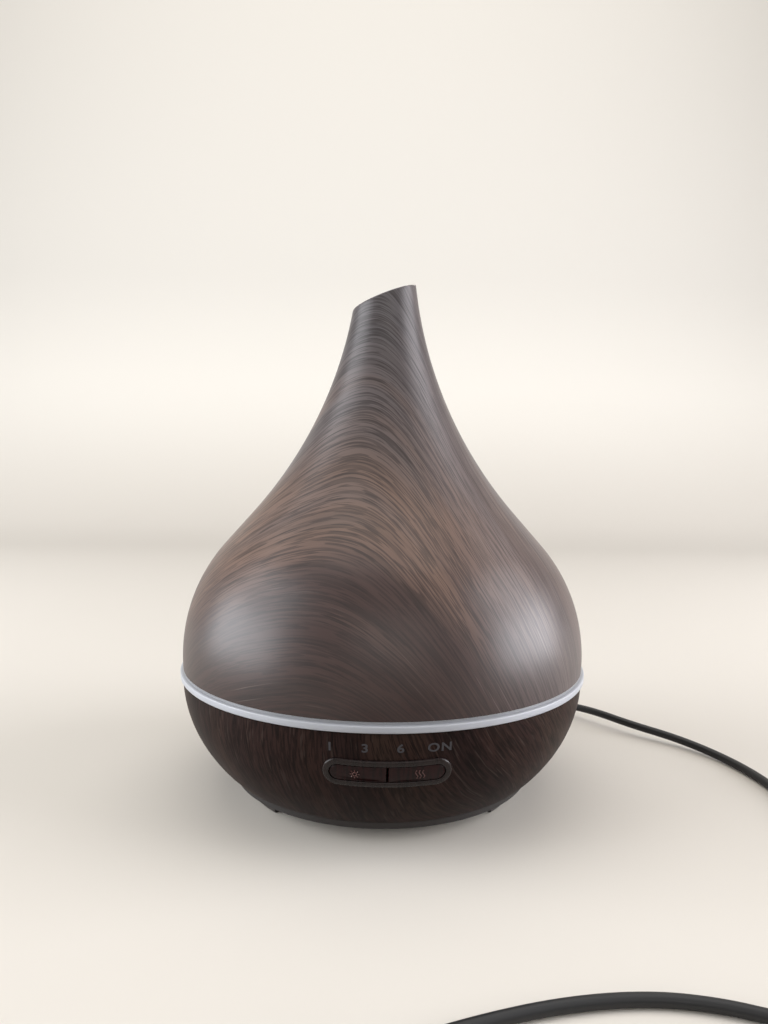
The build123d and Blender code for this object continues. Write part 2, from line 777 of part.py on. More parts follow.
# ---------------------------------------------------------------- lead
lift = tie_thick
lead_points = [
    (0, cord_exit_y, jack_z), (0, cord_exit_y + 9.3, jack_z), (3.6, 101.5, 8.8), (11.5, 109.5, 5.4),
    (24, 113.5, 2.8), (40, 112, 1.9), (57, 107, 1.9), (72, 99, 2.2), (87, 88, 3.4), (101, 75, 5.0),
    (112, 61, 6.2), (125, 44, 5.4), (142, 31, 3.6), (154, 15, 2.1), (161, -6, 1.9), (163, -31, 1.9),
    (160, -58, 1.9), (154, -84, 1.9), (146, -109, 1.9), (136, -133, 1.9), (124, -150, 1.9),
    (109, -156, 1.9), (95, -151, 1.9), (81, -145.5, 1.9), (64, -143, 1.9), (43, -145, 1.9),
    (22, -150.5, 1.9), (2, -158, 2.0), (-18, -162.7, 2.3),
]
tail_points = [
    (-12, -210.4, 5.6), (1, -212.6, 6.6), (15, adapter_y, adapter_relief_z),
    (adapter_x - adapter_relief_length, adapter_y, adapter_relief_z),
]


def corner_radii(points):
    """For each corner: 0.45 of the shorter run over the tangent of half the turn."""
    radii = []
    for before, at, after in zip(points, points[1:], points[2:]):
        one = Vector(*at) - Vector(*before)
        two = Vector(*after) - Vector(*at)
        half_turn = math.radians(one.get_angle(two)) / 2
        radii.append(0.45 * min(one.length, two.length) / math.tan(half_turn))
    return radii


def cord_tube(points, name):
    """A round tube of straight runs joined by tangent arcs."""
    radii = corner_radii(points)
    path = FilletPolyline(*points, radius=radii)
    start = Plane(origin=path @ 0, z_dir=path % 0)
    made = sweep(start * Circle(cord_radius), path=path)
    share = made.volume / (math.pi * cord_radius ** 2 * path.length)
    print(f"{name}: {path.length:.0f} mm, volume share {share:.3f}, radii", *[round(r) for r in radii])
    return made


coil_width = coil_low_turns * cord_diameter
coil_height = cord_diameter * (1 + math.sin(math.radians(60)))


def coil_section(margin):
    """The coil's section, this much larger all round."""
    return Pos(coil_mean_radius, lift + coil_height / 2) * RectangleRounded(
        coil_width + 2 * margin, coil_height + 2 * margin, 0.9 * cord_radius + margin)


def make_coil():
    return Pos(*coil_centre, 0) * turned(coil_section(0))


def make_tie():
    band = coil_section(tie_thick - 0.05) - coil_section(0.05)
    angle = math.degrees(tie_width / coil_mean_radius)
    return Pos(*coil_centre, 0) * Rot(0, 0, -angle / 2) * revolve(Plane.XZ * band, Axis.Z, angle)


# ---------------------------------------------------------------- adapter
def adapter_block(z0, z1, inset):
    length, width, _ = adapter_size
    plan = RectangleRounded(length - 2 * inset, width - 2 * inset, adapter_round + 2 - inset * 0.5)
    return Pos(adapter_x + length / 2, adapter_y, z0) * extrude(plan, amount=z1 - z0)


def make_adapter_back():
    seam = adapter_size[2] / 2
    shell = fillet(adapter_block(0, seam, 0).edges().group_by(Axis.Z)[0], adapter_round * 0.6)
    shell -= adapter_block(adapter_wall, seam, adapter_wall)
    hole = Pos(adapter_x - 1, adapter_y, adapter_relief_z) * Rot(0, 90, 0) * rod(cord_radius, 0, 6)
    return shell - hole


def make_adapter_front():
    seam, top = adapter_size[2] / 2, adapter_size[2]
    shell = fillet(adapter_block(seam, top, 0).edges().group_by(Axis.Z)[-1], adapter_round * 0.6)
    shell -= adapter_block(seam, top - adapter_wall, adapter_wall)
    for y in adapter_pin_ys():
        shell -= Pos(adapter_x + adapter_pin_x, y, 0) * rod(adapter_pin_radius, seam, top)
    return shell


def adapter_pin_ys():
    return [adapter_y + s * adapter_pin_pitch / 2 for s in (-1, 1)]


def make_adapter_pins():
    top = adapter_size[2]
    pins = []
    for y in adapter_pin_ys():
        pin = rod(adapter_pin_radius, top - adapter_wall - 3, top + adapter_pin_length)
        pin = fillet(pin.edges().group_by(Axis.Z)[-1], 1.2)
        pins.append(Pos(adapter_x + adapter_pin_x, y, 0) * pin)
    return pins


def make_adapter_board():
    return adapter_block(adapter_wall, adapter_wall + board_thick, adapter_wall + 1)


def make_transformer():
    low = adapter_wall + board_thick
    return Pos(adapter_x + transformer_x, adapter_y, low + transformer_size[2] / 2) * Box(*transformer_size)


def make_adapter_relief():
    cone = relief(adapter_relief_length, 3.4, cord_radius + 0.35, 4)
    return Pos(adapter_x, adapter_y, adapter_relief_z) * Rot(0, -90, 0) * cone


parts = {
    "top_cover": make_cover, "splash_lid": make_lid, "light_ring": make_ring, "water_tank": make_tank,
    "duct_cap": make_duct_cap, "base_shell": make_shell, "bottom_cover": make_bottom_cover,
    "case_screws": make_case_screws, "disc_seal": make_seal, "ultrasonic_disc": make_disc,
    "disc_clamp": make_clamp, "clamp_screws": make_clamp_screws, "fan_frame": make_fan_frame,
    "fan_motor": make_fan_motor, "fan_impeller": make_impeller, "fan_gasket": make_fan_gasket,
    "fan_screws": make_fan_screws, "main_board": make_main_board, "board_screws": make_board_screws,
    "capacitors": make_capacitors, "inductor": make_coil_inductor, "heat_sink": make_heat_sink,
    "driver_transistor": make_transistor, "control_chips": make_chips, "wire_connectors": make_connectors,
    "lamp_board": make_lamp_board, "ring_lamps": make_lamps, "button_bezel": make_bezel,
    "light_button": lambda: make_button(-1), "mist_button": lambda: make_button(1),
    "light_plunger": lambda: make_plunger(-1), "mist_plunger": lambda: make_plunger(1),
    "key_switches": make_switches, "key_board": make_key_board, "indicator_lamps": make_indicator_lamps,
    "dc_socket": make_jack, "socket_pin": make_jack_pin, "plug_sleeve": make_plug_sleeve,
    "plug_body": make_plug_body, "plug_strain_relief": make_plug_relief,
    "power_cord": lambda: cord_tube(lead_points, "lead"), "cord_coil": make_coil,
    "cord_tail": lambda: cord_tube(tail_points, "tail"), "cord_tie": make_tie,
    "adapter_back": make_adapter_back, "adapter_front": make_adapter_front,
    "adapter_pins": make_adapter_pins, "adapter_board": make_adapter_board,
    "adapter_transformer": make_transformer, "adapter_strain_relief": make_adapter_relief,
}
for name, azimuth in foot_azimuths.items():
    parts[name] = lambda azimuth=azimuth: make_foot(azimuth)

os.makedirs("parts", exist_ok=True)
for name, make in parts.items():
    shape = make()
    if isinstance(shape, list):
        shape = Compound(children=shape)
    export_step(shape, f"parts/{name}.step")
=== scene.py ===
"""An essential oil diffuser on a pale table: a drop-shaped wood-grain cover, light ring, base and lead."""
import math

import bmesh
import bpy
from bmesh.types import BMEdge, BMFace, BMVert
from mathutils import Matrix, Vector


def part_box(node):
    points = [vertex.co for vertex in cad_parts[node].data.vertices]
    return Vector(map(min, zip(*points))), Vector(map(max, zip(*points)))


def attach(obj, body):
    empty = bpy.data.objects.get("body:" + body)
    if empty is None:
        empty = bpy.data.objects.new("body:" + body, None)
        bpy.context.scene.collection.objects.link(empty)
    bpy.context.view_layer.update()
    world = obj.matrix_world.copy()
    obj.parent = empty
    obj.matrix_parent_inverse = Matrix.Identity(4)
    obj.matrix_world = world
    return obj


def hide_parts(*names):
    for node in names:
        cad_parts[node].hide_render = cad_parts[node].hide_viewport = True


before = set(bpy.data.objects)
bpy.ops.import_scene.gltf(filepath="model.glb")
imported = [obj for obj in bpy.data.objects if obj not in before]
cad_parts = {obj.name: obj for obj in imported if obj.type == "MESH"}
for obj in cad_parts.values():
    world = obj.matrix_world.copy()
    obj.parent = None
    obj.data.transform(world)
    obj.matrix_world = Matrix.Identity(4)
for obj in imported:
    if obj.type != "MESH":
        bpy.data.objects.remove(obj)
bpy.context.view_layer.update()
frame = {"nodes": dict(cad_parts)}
mm = 0.001

# ---------------------------------------------------------------- table, light and camera
# A pale seamless table top that curves up into a wall.  A low window with a dimmer light over it stands
# at each side, with a soft sky above and a faint fill in front.  The camera stands close, a little
# above the light ring.
table_half = 1.6
sweep_start = 0.8               # how far behind the object the table starts to curve up
sweep_radius = 0.5
wall_rise = 1.8


class Wire:
    """The output of a shader node, with Python's operators as Math nodes."""

    def __init__(self, wiring, socket):
        self.wiring = wiring
        self.socket = socket

    def maths(self, operation, *terms):
        return self.wiring.node("ShaderNodeMath", {"operation": operation}, dict(enumerate(terms)))

    def of(self, operation):
        """The value's SINE, COSINE or SQRT."""
        return self.maths(operation, self)

    def at_least(self, least):
        return self.maths("MAXIMUM", self, least)

    def __add__(self, other):
        return self.maths("ADD", self, other)

    def __sub__(self, other):
        return self.maths("SUBTRACT", self, other)

    def __rsub__(self, other):
        return self.maths("SUBTRACT", other, self)

    def __mul__(self, other):
        return self.maths("MULTIPLY", self, other)

    def __truediv__(self, other):
        return self.maths("DIVIDE", self, other)

    __radd__ = __add__
    __rmul__ = __mul__


class Wiring:
    """A node tree that is wired up in code."""

    def __init__(self, tree):
        self.tree = tree

    def feed(self, socket, value):
        if isinstance(value, Wire):
            self.tree.links.new(value.socket, socket)
        elif hasattr(value, "__len__") and len(value) == 3 and len(socket.default_value) == 4:
            socket.default_value = (*value, 1)
        else:
            socket.default_value = value

    def node(self, kind, settings=None, sockets=None, output=0):
        made = self.tree.nodes.new(kind)
        for name, value in (settings or {}).items():
            if name == "stops":
                while len(made.color_ramp.elements) < len(value):
                    made.color_ramp.elements.new(0.5)
                for element, (place, colour) in zip(made.color_ramp.elements, value):
                    element.position = place
                    element.color = (*colour, 1)
            else:
                setattr(made, name, value)
        for name, value in (sockets or {}).items():
            self.feed(made.inputs[name], value)
        return Wire(self, made.outputs[output])

    def seen(self):
        """1 for what is seen, straight, mirrored or through clear plastic, and 0 for diffuse bounces."""
        return sum((self.node("ShaderNodeLightPath", output="Is %s Ray" % ray)
                    for ray in ("Camera", "Glossy", "Transmission")), start=0)


class Finish(Wiring):
    """A material and its shader."""

    def __init__(self, name):
        self.material = bpy.data.materials.new(name)
        self.material.use_nodes = True
        super().__init__(self.material.node_tree)
        self.shader = self.tree.nodes["Principled BSDF"]

    def surface(self, **sockets):
        """Sets the shader's sockets, with _ for each space in a name."""
        for name, value in sockets.items():
            self.feed(self.shader.inputs[name.replace("_", " ")], value)
        return self

    def place(self):
        """The place on the object, in metres, as a vector and as its three numbers."""
        spot = self.node("ShaderNodeTexCoord", output="Object")
        parts = self.node("ShaderNodeSeparateXYZ", sockets={0: spot})
        return spot, *(Wire(self, parts.socket.node.outputs[i]) for i in range(3))

    def noise(self, spot, scale, detail, roughness=0.5, w=None):
        """Noise of this many waves a metre; w makes it four-dimensional."""
        settings = {"noise_dimensions": "3D" if w is None else "4D"}
        sockets = {"Vector": spot, "Scale": scale, "Detail": detail, "Roughness": roughness}
        if w is not None:
            sockets["W"] = w
        return self.node("ShaderNodeTexNoise", settings, sockets)

    def ramp(self, value, stops):
        return self.node("ShaderNodeValToRGB", {"stops": stops}, {0: value})

    def ease(self, value, low, high):
        """0 below low, 1 above high and smooth between them."""
        return self.node("ShaderNodeMapRange", {"interpolation_type": "SMOOTHSTEP"},
                         {"Value": value, "From Min": low, "From Max": high})

    def blend(self, share, first, second):
        """Mixes two colours."""
        return self.node("ShaderNodeMix", {"data_type": "RGBA"}, {0: share, 6: first, 7: second}, 2)

    def bump(self, height, distance, strength):
        return self.node("ShaderNodeBump", sockets={"Height": height, "Distance": distance,
                                                    "Strength": strength})


def srgb(red, green, blue):
    """A colour given as it looks on screen, from 0 to 255."""
    return tuple(((c / 255 + 0.055) / 1.055) ** 2.4 if c > 10 else c / 255 / 12.92
                 for c in (red, green, blue))


crease = 35                     # in degrees: an edge that turns more is shaded sharp


def smooth(mesh, angle=crease):
    """Shades a mesh smooth but for its sharp edges."""
    for face in mesh.polygons:
        face.use_smooth = True
    mesh.set_sharp_from_angle(angle=math.radians(angle))


def add_mesh(bm, name, angle=crease):
    """Turns a bmesh into a shown object."""
    mesh = bpy.data.meshes.new(name)
    bm.to_mesh(mesh)
    bm.free()
    smooth(mesh, angle)
    made = bpy.data.objects.new(name, mesh)
    bpy.context.scene.collection.objects.link(made)
    return made


def arc(centre, radius, start, end, steps):
    """Points on an arc, from one angle to another, in degrees."""
    for i in range(steps + 1):
        a = math.radians(start + (end - start) * i / steps)
        yield centre[0] + radius * math.cos(a), centre[1] + radius * math.sin(a)


def chain(bm, points):
    """Vertices joined by edges, one after the other."""
    made = [bm.verts.new(p) for p in points]
    return made, [bm.edges.new(pair) for pair in zip(made, made[1:])]


def only(kind, geom):
    """The vertices, the edges or the faces among what an operator made."""
    return [part for part in geom if isinstance(part, kind)]


table = bmesh.new()
section = [(-table_half, 0), (sweep_start, 0),
           *arc((sweep_start, sweep_radius), sweep_radius, -80, 0, 12),
           (sweep_start + sweep_radius, wall_rise)]
_, edges = chain(table, [(-2 * table_half, y, z) for y, z in section])
side = bmesh.ops.extrude_edge_only(table, edges=edges)
bmesh.ops.translate(table, vec=(4 * table_half, 0, 0), verts=only(BMVert, side["geom"]))
bmesh.ops.recalc_face_normals(table, faces=table.faces)
pale = Finish("pale_table")     # it looks pale, but throws little light back up on to the base
spot, x, y, height = pale.place()
shown = pale.blend(pale.ease(height, 0.0, 0.3), srgb(224, 218, 209), srgb(246, 241, 232))
pale.surface(Base_Color=pale.blend(pale.seen(), srgb(70, 65, 61), shown), Roughness=0.8,
             Specular_IOR_Level=0.2)
table = add_mesh(table, "pale_table", 60)
table.data.materials.append(pale.material)


def add_window(name, place, target, size, watts, tint):
    """A soft rectangular light that looks at its target."""
    light = bpy.data.lights.new(name, "AREA")
    light.shape = "RECTANGLE"
    light.size, light.size_y = size
    light.energy = watts
    light.color = tint
    lamp = bpy.data.objects.new(name, light)
    lamp.location = place
    lamp.rotation_euler = (Vector(target) - Vector(place)).to_track_quat("-Z", "Y").to_euler()
    bpy.context.scene.collection.objects.link(lamp)


aim = (0, 0, 0.08)
window_watts = 14.5
fanlight_watts = 7
left_tint = (0.93, 0.96, 1.0)
right_tint = (0.94, 0.95, 1.0)
add_window("left_window", (-1.25, -0.14, 0.28), aim, (1.1, 0.56), window_watts, left_tint)
add_window("left_fanlight", (-1.25, -0.14, 0.92), aim, (1.1, 0.55), fanlight_watts, left_tint)
add_window("right_window", (1.25, -0.13, 0.27), aim, (1.0, 0.54), window_watts, right_tint)
add_window("right_fanlight", (1.25, -0.13, 0.90), aim, (1.0, 0.55), fanlight_watts, right_tint)
add_window("sky", (0, 0.3, 1.7), aim, (1.8, 1.8), 14, (1.0, 0.98, 0.95))
add_window("front_fill", (0.1, -1.5, 0.7), aim, (1.2, 0.9), 4, (1.0, 0.97, 0.93))

room_light = 0.30               # what lights the object
room_shown = 0.32               # what is added where the room is seen
world = bpy.data.worlds.new("room")
world.use_nodes = True
room = Wiring(world.node_tree)
background = room.tree.nodes["Background"]
room.feed(background.inputs["Color"], srgb(236, 231, 224))
room.feed(background.inputs["Strength"], room_light + room_shown * room.seen())
bpy.context.scene.world = world

camera_place = Vector((-8.5, -325.6, 138.2)) * mm
camera_heading = 1.5            # degrees towards +X
camera_dip = 4.36
camera_roll = 0.65
lens_length = 27.07             # in mm, on a sensor 36 mm long
lens = bpy.data.cameras.new("camera")
lens.sensor_width = 36
lens.lens = lens_length
lens.clip_start = 0.01
camera = bpy.data.objects.new("camera", lens)
camera.matrix_world = (Matrix.Translation(camera_place)
                       @ Matrix.Rotation(math.radians(-camera_heading), 4, "Z")
                       @ Matrix.Rotation(math.radians(90 - camera_dip), 4, "X")
                       @ Matrix.Rotation(math.radians(camera_roll), 4, "Z"))
bpy.context.scene.collection.objects.link(camera)
bpy.context.scene.camera = camera
bpy.context.scene.view_settings.view_transform = "Standard"


# ---------------------------------------------------------------- printed wood film
# The cover and the base are moulded in brown plastic and dipped to take a printed film of dark,
# open-pored wood, then sprayed with a satin lacquer.  The grain arches over the cover's front and
# falls away steeply at its right; on the base it runs down the wall.
def film_colour(wood, ground, middling, lines, fine, glint, ink, pale):
    """Lays dark streaks, long dark lines, short pores and a few pale lines over the ground's colour."""
    streaked = wood.blend(wood.ease(middling, 0.48, 0.68) * 0.34, ground, ink)
    lined = wood.blend(wood.ease(lines, 0.50, 0.58) * 0.44, streaked, ink)
    pored = wood.blend(wood.ease(fine, 0.51, 0.59) * 0.52, lined, ink)
    return wood.blend(wood.ease(glint, 0.60, 0.72) * 0.40, pored, pale)


def lacquer(wood, spot, colour, lines, gloss):
    """A satin lacquer over the lines, with faint orange peel and a few tiny chips down to pale primer."""
    cloud = wood.noise(spot, 22, 3)
    peel = wood.noise(spot, 900, 1)
    chip = wood.node("ShaderNodeTexVoronoi", {"feature": "F1"}, {"Vector": spot, "Scale": 34.0})
    chipped = wood.ease(chip, 0.030, 0.016)
    relief = lines * 0.35 + peel * 0.2
    wood.surface(Base_Color=wood.blend(chipped * 0.7, colour, srgb(176, 168, 164)),
                 Roughness=gloss + 0.12 * (cloud - 0.5), Normal=wood.bump(relief, 0.05 * mm, 0.6))
    return wood


arch_azimuth = math.radians(-15)    # the arches' tops stand here, a little left of the front
band_shift = 5.45                   # slides the tan and grey bands along the arches


def cover_film():
    """Arches that spread wider as the cover does, with broad tan and grey bands along them."""
    wood = Finish("cover_wood_film")
    spot, x, y, z = wood.place()
    radius = (x * x + y * y).of("SQRT")
    across = x / radius
    facing = (x * math.sin(arch_azimuth) - y * math.cos(arch_azimuth)) / radius
    side = wood.ease(facing, 0.45, -0.2)
    over = (across + 0.4).at_least(0.0)
    spread = (1 - facing) * 0.9 + side * 0.6 + over * over * 0.58
    drift = wood.noise(spot, 9, 1) - 0.5
    ripple = wood.noise(spot, 60, 1) - 0.5
    arch = z + radius * spread + drift * 0.018 + ripple * 0.0007
    broad = wood.noise(spot, 6, 2, w=arch * 9 + band_shift)
    middling = wood.noise(spot, 16, 2, 0.6, w=arch * 24)
    lines = wood.noise(spot, 26, 1, 0.6, w=arch * 50)
    fine = wood.noise(spot, 84, 1, 0.6, w=arch * 18)
    glint = wood.noise(spot, 36, 1, 0.5, w=arch * 42 + 7)
    right = wood.ease(across, 0.25, 0.85)
    level = (z + (1 - facing) * 0.020 + drift * 0.030 - 0.05) * 6.6
    swing = 0.38 + 0.62 * wood.ease(z, 0.055, 0.095)
    ground = wood.ramp(level + (broad - 0.5) * swing, [
        (0.0, srgb(60, 42, 40)), (0.14, srgb(74, 57, 54)), (0.28, srgb(108, 86, 77)),
        (0.42, srgb(119, 95, 83)), (0.54, srgb(107, 90, 84)), (0.74, srgb(99, 90, 90)),
        (1.0, srgb(94, 89, 91))])
    ground = wood.blend(right * 0.55, ground, srgb(106, 95, 95))
    colour = film_colour(wood, ground, middling, lines, fine, glint * (0.86 + 0.20 * right),
                         srgb(34, 26, 26), srgb(142, 130, 126))
    return lacquer(wood, spot, colour, lines, 0.37)


base_film_top = 51.5 * mm


def base_film():
    """Lines that run down the wall and lean over more and more towards the right and the bottom, in
    colours darkened as painted shade.
    """
    wood = Finish("base_wood_film")
    spot, x, y, z = wood.place()
    radius = (x * x + y * y).of("SQRT")
    across, along = x / radius, y / radius
    drift = wood.noise(spot, 13, 2) - 0.5
    drop = base_film_top - z
    lean = drift * 0.16 - drop * (13 * wood.ease(across, -0.5, 0.95) - 1.5) - drop * drop * 40
    sine, cosine = lean.of("SINE"), lean.of("COSINE")
    turned_x = across * cosine - along * sine
    turned_y = across * sine + along * cosine
    grain = wood.node("ShaderNodeCombineXYZ", sockets={0: turned_x, 1: turned_y, 2: z * 1.3})
    broad = wood.noise(grain, 3.4, 2)
    middling = wood.noise(grain, 22, 2, 0.6)
    lines = wood.noise(grain, 76, 1, 0.6)
    fine = wood.noise(grain, 124, 1, 0.6)
    glint = wood.noise(grain, 92, 1, 0.5)
    # Painted shade: these colours are the film's own, darkened throughout to stand in for the shade the
    # low base sits in.
    ground = wood.ramp(broad, [
        (0.32, srgb(32, 21, 20)), (0.47, srgb(46, 32, 30)), (0.58, srgb(54, 38, 34)),
        (0.70, srgb(60, 46, 40))])
    colour = film_colour(wood, ground, middling, lines, fine, glint, srgb(8, 5, 5), srgb(78, 66, 61))
    wood.surface(Specular_IOR_Level=0.07)
    return lacquer(wood, spot, colour, lines, 0.46)


cover_wood = cover_film()
shaded_base_wood = base_film()

# ---------------------------------------------------------------- cover
# A hollow drop in brown plastic: a round bulb, a short straight flank and a long hollow neck, cut
# off at a slant to make the nozzle.  It is moulded in one piece and rests on the tank's flange.  The
# film covers its outside alone.
cover_low, cover_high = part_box("top_cover")
rim_level = cover_low.z
cover_wall = 2.2 * mm
bulb_radius = 67 * mm
bulb_centre = (16 * mm, 56 * mm)
flank_angle = 41.5              # from the upright
flank_length = 18 * mm
neck_radius = 172 * mm
mouth_height = 202.8 * mm
mouth_tilt = 21.4
lip_round = 0.7 * mm


def spun(outline, steps):
    """A bmesh that a closed outline of (radius, height) points makes about the upright axis."""
    bm = bmesh.new()
    verts, edges = chain(bm, [(r, 0, z) for r, z in outline])
    edges.append(bm.edges.new((verts[-1], verts[0])))
    bmesh.ops.spin(bm, geom=verts + edges, cent=(0, 0, 0), axis=(0, 0, 1), angle=math.tau,
                   steps=steps, use_merge=True, use_duplicate=False)
    bmesh.ops.remove_doubles(bm, verts=bm.verts, dist=0.001 * mm)
    bmesh.ops.recalc_face_normals(bm, faces=bm.faces)
    return bm


def drop_line(inset, top):
    """The drop's outline from its rim up to this height, this far inside the outer face."""
    radius = bulb_radius - inset
    start = math.degrees(math.asin((rim_level - bulb_centre[1]) / radius))
    line = list(arc(bulb_centre, radius, start, flank_angle, 44))
    a = math.radians(flank_angle)
    end = Vector(line[-1]) + flank_length * Vector((-math.sin(a), math.cos(a)))
    hollow = neck_radius + inset
    centre = end + hollow * Vector((math.cos(a), math.sin(a)))
    last = math.degrees(math.asin((centre.y - top) / hollow))
    line += arc(centre, hollow, 180 + flank_angle, 180 + last, 60)
    return line


blank_top = mouth_height + 10 * mm  # the neck is spun up to here, then cut
cover = spun(drop_line(0, blank_top) + drop_line(cover_wall, blank_top)[::-1], 240)
tilt = math.radians(mouth_tilt)
cut = bmesh.ops.bisect_plane(cover, geom=cover.verts[:] + cover.edges[:] + cover.faces[:],
                             plane_co=(0, 0, mouth_height), plane_no=(-math.sin(tilt), 0, math.cos(tilt)),
                             clear_outer=True)
rims = only(BMEdge, cut["geom_cut"])
bmesh.ops.bridge_loops(cover, edges=rims)
bmesh.ops.recalc_face_normals(cover, faces=cover.faces)
rims = [e for e in rims if e.is_valid]
bmesh.ops.bevel(cover, geom=rims, offset=lip_round, segments=4, profile=0.5, affect="EDGES", material=-1)


def put(piece, body, slot, finish, *nodes):
    """Gives a finished piece its material and body, in place of these CAD nodes; its slot is not used."""
    piece.data.materials.clear()
    piece.data.materials.append(finish.material)
    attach(piece, body)
    if nodes:
        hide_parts(*nodes)
    return piece


cover = put(add_mesh(cover, "wood_cover"), "cover", "wood_shell", cover_wood, "top_cover")


def dimmed(tint, share):
    """The same colour with only this share of its light."""
    return tuple(share * c for c in tint)


def plastic(name, tint, roughness, grain=600, relief=0.02):
    """Moulded plastic or rubber with a faint drift in its colour and a texture this many mm deep."""
    finish = Finish(name)
    spot, x, y, z = finish.place()
    cloud = finish.noise(spot, 40, 3)
    skin = finish.noise(spot, grain, 2)
    finish.surface(Base_Color=finish.blend(cloud * 0.35, tint, dimmed(tint, 0.72)),
                   Roughness=roughness + 0.12 * (cloud - 0.5), Normal=finish.bump(skin, relief * mm, 0.5))
    return finish


bare_brown = plastic("bare_brown_plastic", srgb(62, 47, 43), 0.42)
cover.data.materials.append(bare_brown.material)
for face in cover.data.polygons:
    outward = Vector((face.center.x, face.center.y, 0))
    if face.normal.dot(outward) < 0 and face.center.z < mouth_height:
        face.material_index = 1     # the inside

# ---------------------------------------------------------------- light ring
# A milky ring around the tank's rim, the widest piece.  Its lower band stands upright, and its upper
# band slopes in to the cover.  The lamps under the tank shine out through it.
ring_low, ring_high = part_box("light_ring")
ring_face = ring_high.x
ring_depth = 6.5 * mm           # from its face in to the tank
ring_inside = ring_face - ring_depth
band_top = ring_low.z + 2.4 * mm    # where the lower band ends
band_step = 1.0 * mm            # how far in the upper band starts
tip_radius = cover_high.x - 0.1 * mm
tip_level = rim_level - 0.05 * mm
tip_width = 1.5 * mm
round_off = 0.35 * mm
ring_outline = [(ring_inside, ring_low.z), (ring_face - round_off, ring_low.z),
                *arc((ring_face - round_off, ring_low.z + round_off), round_off, -75, 0, 4),
                *arc((ring_face - round_off, band_top - round_off), round_off, 0, 55, 4),
                (ring_face - band_step, band_top + band_step / 4),
                (tip_radius, tip_level), (tip_radius - tip_width, tip_level),
                (tip_radius - tip_width, ring_high.z), (ring_inside, ring_high.z)]


def translucent(finish, tint, cloud, roughness, depth, **more):
    """Makes a finish a plastic that lets light in, this deep."""
    return finish.surface(Base_Color=tint, Roughness=roughness + 0.08 * (cloud - 0.5),
                          Subsurface_Weight=0.4, Subsurface_Radius=(depth, depth, 1.15 * depth),
                          Subsurface_Scale=1.0, **more)


def ring_milk():
    """Milky plastic, with painted shade over the upper band, which lies under the cover's edge, and along
    the crease between the bands.
    """
    milk = Finish("milky_ring")
    spot, x, y, z = milk.place()
    cloud = milk.noise(spot, 60, 3)
    upper_band_shade = milk.ease(z, band_top - 0.2 * mm, band_top + 0.3 * mm)
    crease_shade = milk.ease(z, band_top - 0.3 * mm, band_top) * milk.ease(z, band_top + 0.5 * mm, band_top)
    tint = milk.blend(cloud * 0.3, srgb(200, 202, 208), srgb(182, 185, 192))
    # Painted shade: the upper band and the crease between the bands are darkened.
    tint = milk.blend(upper_band_shade * 0.85, tint, srgb(134, 136, 142))
    tint = milk.blend(crease_shade * 0.25, tint, srgb(110, 112, 120))
    return translucent(milk, tint, cloud, 0.30, 1.5 * mm)


ring = add_mesh(spun(ring_outline, 288), "glow_ring")
put(ring, "base", "milky_ring", ring_milk(), "light_ring")

# ---------------------------------------------------------------- base shell
# The lower half of the body, a moulded bowl with the same film, in colours darkened as painted shade.
# A slot in its front holds the buttons, and a notch at the back lets the plug's tunnel through.
base_low, base_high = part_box("base_shell")
bowl_radius = base_high.x
bowl_depth = 62.5 * mm
bowl_wall = 2.4 * mm
button_z = 33.3 * mm
slot_size = (43 * mm, 10.6 * mm)


def bowl_at(z, grow=0.0):
    """The bowl's radius at a height, this far outside its face."""
    return (bowl_radius + grow) * math.sqrt(1 - ((base_high.z - z) / (bowl_depth + grow)) ** 2)


def bowl_line(grow, low, steps):
    """The bowl's outline from its lower edge up to the ring."""
    start = math.degrees(math.asin((low - base_high.z) / (bowl_depth + grow)))
    for i in range(steps + 1):
        a = math.radians(start * (1 - i / steps))
        yield (bowl_radius + grow) * math.cos(a), base_high.z + (bowl_depth + grow) * math.sin(a)


edge_round = 1.2 * mm
edge_radius = bowl_at(base_low.z)
bowl_outline = [*bowl_line(-bowl_wall, base_low.z, 24)][::-1]
bowl_outline += [(edge_radius - 1.3 * mm, base_low.z), (edge_radius - 0.5 * mm, base_low.z + 0.2 * mm)]
bowl_outline += [*bowl_line(0, base_low.z + edge_round, 36)]
shell = add_mesh(spun(bowl_outline, 288), "wood_bowl")

slope = math.atan(bowl_radius ** 2 * (base_high.z - button_z) / (bowl_depth ** 2 * bowl_at(button_z)))
button_frame = Matrix.Translation((0, -bowl_at(button_z), button_z)) @ Matrix.Rotation(
    math.radians(90) + slope, 4, "X")


def stadium(bm, length, width):
    """A flat face with straight sides and round ends, in the plane of X and Y."""
    segments = 32
    half_segment = Matrix.Rotation(math.pi / segments, 3, "Z")
    bmesh.ops.create_circle(bm, segments=segments, radius=width / 2)
    bmesh.ops.rotate(bm, cent=(0, 0, 0), matrix=half_segment, verts=bm.verts)
    half = (length - width) / 2
    for v in bm.verts:
        v.co.x += math.copysign(half, v.co.x)
    sides = [e for e in bm.edges if e.calc_length() > half]
    bmesh.ops.subdivide_edges(bm, edges=sides, cuts=23)
    return bmesh.ops.edgeloop_fill(bm, edges=bm.edges)["faces"][0]


def finished_mesh(piece):
    """The mesh that an object shows, with its modifiers or its curve worked out."""
    bpy.context.view_layer.update()
    return bpy.data.meshes.new_from_object(piece.evaluated_get(bpy.context.evaluated_depsgraph_get()))


def cut_away(piece, cutter):
    """Cuts one piece out of another and throws the cutter away."""
    trim = piece.modifiers.new("cut", "BOOLEAN")
    trim.operation = "DIFFERENCE"
    trim.solver = "EXACT"
    trim.object = cutter
    cut_mesh = finished_mesh(piece)
    piece.modifiers.clear()
    piece.data = cut_mesh
    bpy.data.objects.remove(cutter)
    smooth(cut_mesh)


